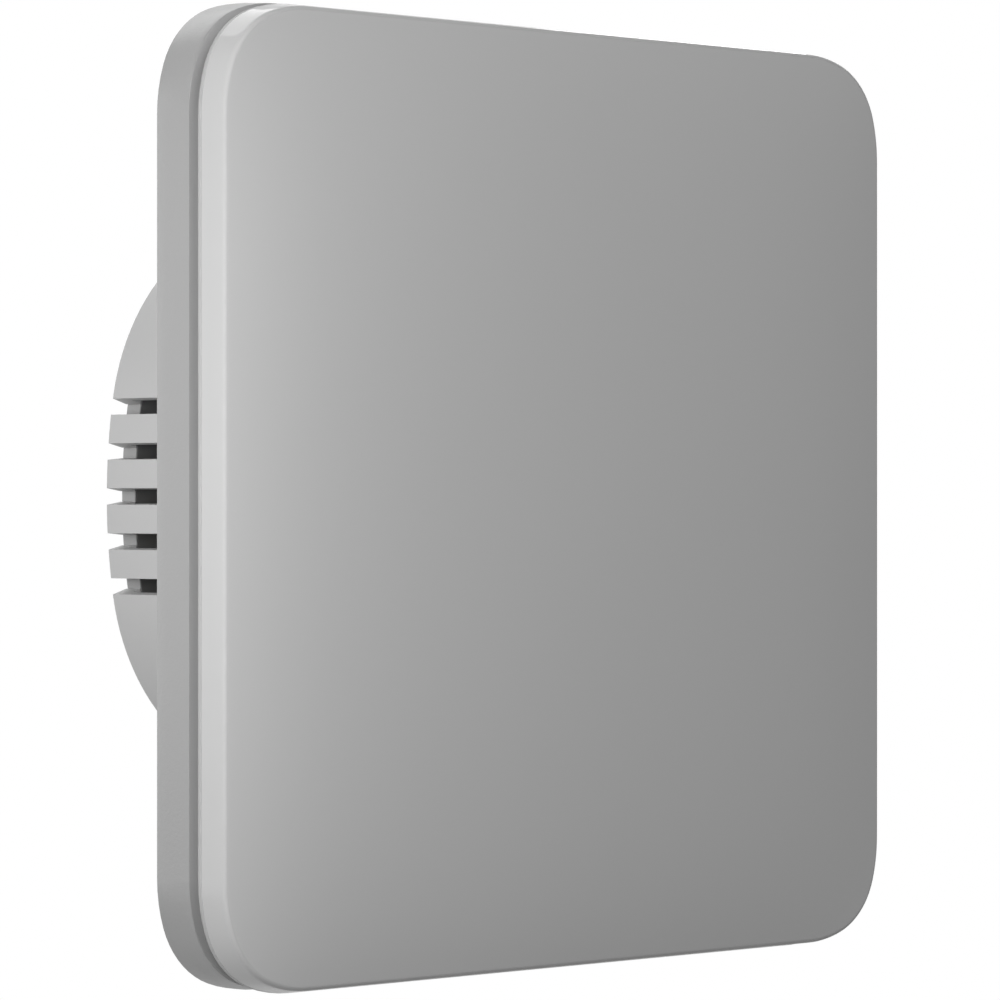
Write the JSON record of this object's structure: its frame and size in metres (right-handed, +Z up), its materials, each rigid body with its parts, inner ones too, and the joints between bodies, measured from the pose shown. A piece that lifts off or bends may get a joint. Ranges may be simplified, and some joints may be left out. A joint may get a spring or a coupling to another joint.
{
  "type": "touch light switch",
  "caption": "Flush-mounted touch light switch: a crowned square panel on a frame and steel plate, over a vented drum with a relay, boards and wire terminals.",
  "frame": {"origin": "centre of the mounting plate's rear face, in the plane of the wall, which is also the centre of both pairs of box-screw slots", "axes": "+Z up, +Y into the wall along the drum, +X to the right for someone facing the switch"},
  "size_m": [0.0872, 0.0354, 0.0872],
  "materials": {
    "cover_plastic": "satin front face, glossy side wall",
    "base_plastic": "moulded, semi-matte",
    "frame_plastic": "fine matte texture",
    "drum_plastic": "moulded, smooth matte",
    "cap_plastic": "moulded, smooth matte",
    "core_plastic": "moulded, smooth matte",
    "plate_steel": "zinc-plated sheet",
    "screw_steel": "zinc-plated",
    "spring_steel": "rolled spring sheet",
    "can_steel": "tinned sheet",
    "iron": "soft iron, nickel-plated",
    "contact_brass": "plain brass",
    "electrode_copper": "rolled copper",
    "winding_copper": "enamelled copper wire",
    "board": "solder-masked glass laminate",
    "chip_black": "moulded epoxy",
    "connector_black": "moulded nylon",
    "relay_plastic": "moulded, smooth",
    "bobbin_plastic": "moulded nylon",
    "capacitor_sleeve": "shrunk sleeve",
    "film_yellow": "cast resin in a moulded box",
    "varistor_blue": "dipped epoxy",
    "ferrite": "sintered ferrite with a shrunk sleeve",
    "resistor_grey": "cement-coated",
    "diffuser_white": "milky",
    "led_white": "small moulded package",
    "button_plastic": "moulded, smooth",
    "terminal_plastic": "moulded, flame-resistant"
  },
  "bodies": {
    "core": {"mounting_plate": "plate_steel", "core_front": "core_plastic", "core_housing": "drum_plastic", "rear_cover": "cap_plastic", "core_screws": "screw_steel", "power_board": "board", "control_board": "board", "board_header": "connector_black", "radio_module": "board", "radio_shield": "can_steel", "antenna": "can_steel", "microcontroller": "chip_black", "core_socket": "connector_black", "socket_contacts": "contact_brass", "tact_switch": "can_steel", "bulk_capacitors": "capacitor_sleeve", "film_capacitor": "film_yellow", "varistor": "varistor_blue", "power_inductor": "ferrite", "fuse_resistor": "resistor_grey", "rectifier": "chip_black", "supply_chip": "chip_black", "relay_base": "relay_plastic", "relay_case": "relay_plastic", "relay_bobbin": "bobbin_plastic", "relay_coil": "winding_copper", "relay_yoke": "iron", "relay_contacts": "contact_brass", "terminal_block": "terminal_plastic", "terminal_bars": "contact_brass"},
    "frame": {"cover_frame": "frame_plastic", "panel_clips": "spring_steel"},
    "panel": {"front_cover": "cover_plastic", "panel_base": "base_plastic", "touch_board": "board", "touch_electrode": "electrode_copper", "touch_chip": "chip_black", "indicator_leds": "led_white", "light_guide": "diffuser_white", "panel_plug": "connector_black", "panel_plug_pins": "contact_brass"},
    "button": {"function_button": "button_plastic"},
    "armature": {"relay_armature": "iron", "relay_blade": "contact_brass"},
    "screw_1": {"terminal_screw_1": "screw_steel"},
    "clamp_1": {"clamp_cage_1": "plate_steel"},
    "screw_2": {"terminal_screw_2": "screw_steel"},
    "clamp_2": {"clamp_cage_2": "plate_steel"},
    "screw_3": {"terminal_screw_3": "screw_steel"},
    "clamp_3": {"clamp_cage_3": "plate_steel"}
  },
  "joints": [
    {"name": "frame_lift", "type": "slide", "parent": "core", "child": "frame", "axis": [0, -1, 0], "range_m": [0, 0.012]},
    {"name": "panel_pull", "type": "slide", "parent": "frame", "child": "panel", "axis": [0, -1, 0], "range_m": [0, 0.015]},
    {"name": "button_press", "type": "slide", "parent": "core", "child": "button", "axis": [0, 1, 0], "range_m": [0, 0.00025], "stiffness_N_per_m": 1500},
    {"name": "armature_close", "type": "hinge", "parent": "core", "child": "armature", "pos_m": [-0.0169, 0.021, 0.009], "axis": [0, 0, -1], "range_deg": [0, 3.2], "stiffness_Nm_per_rad": 0.01},
    {"name": "screw_1_turn", "type": "hinge", "parent": "core", "child": "screw_1", "pos_m": [-0.009, 0.0201, -0.02], "axis": [0, 0, 1], "range_deg": [0, 1440]},
    {"name": "clamp_1_close", "type": "slide", "parent": "core", "child": "clamp_1", "axis": [0, 0, -1], "range_m": [0, 0.002]},
    {"name": "screw_2_turn", "type": "hinge", "parent": "core", "child": "screw_2", "pos_m": [0, 0.0201, -0.02], "axis": [0, 0, 1], "range_deg": [0, 1440]},
    {"name": "clamp_2_close", "type": "slide", "parent": "core", "child": "clamp_2", "axis": [0, 0, -1], "range_m": [0, 0.002]},
    {"name": "screw_3_turn", "type": "hinge", "parent": "core", "child": "screw_3", "pos_m": [0.009, 0.0201, -0.02], "axis": [0, 0, 1], "range_deg": [0, 1440]},
    {"name": "clamp_3_close", "type": "slide", "parent": "core", "child": "clamp_3", "axis": [0, 0, -1], "range_m": [0, 0.002]}
  ],
  "couplings": [
    {"joint": "screw_1_turn", "follows": "clamp_1_close", "rad_per_m": 12566},
    {"joint": "screw_2_turn", "follows": "clamp_2_close", "rad_per_m": 12566},
    {"joint": "screw_3_turn", "follows": "clamp_3_close", "rad_per_m": 12566}
  ]
}
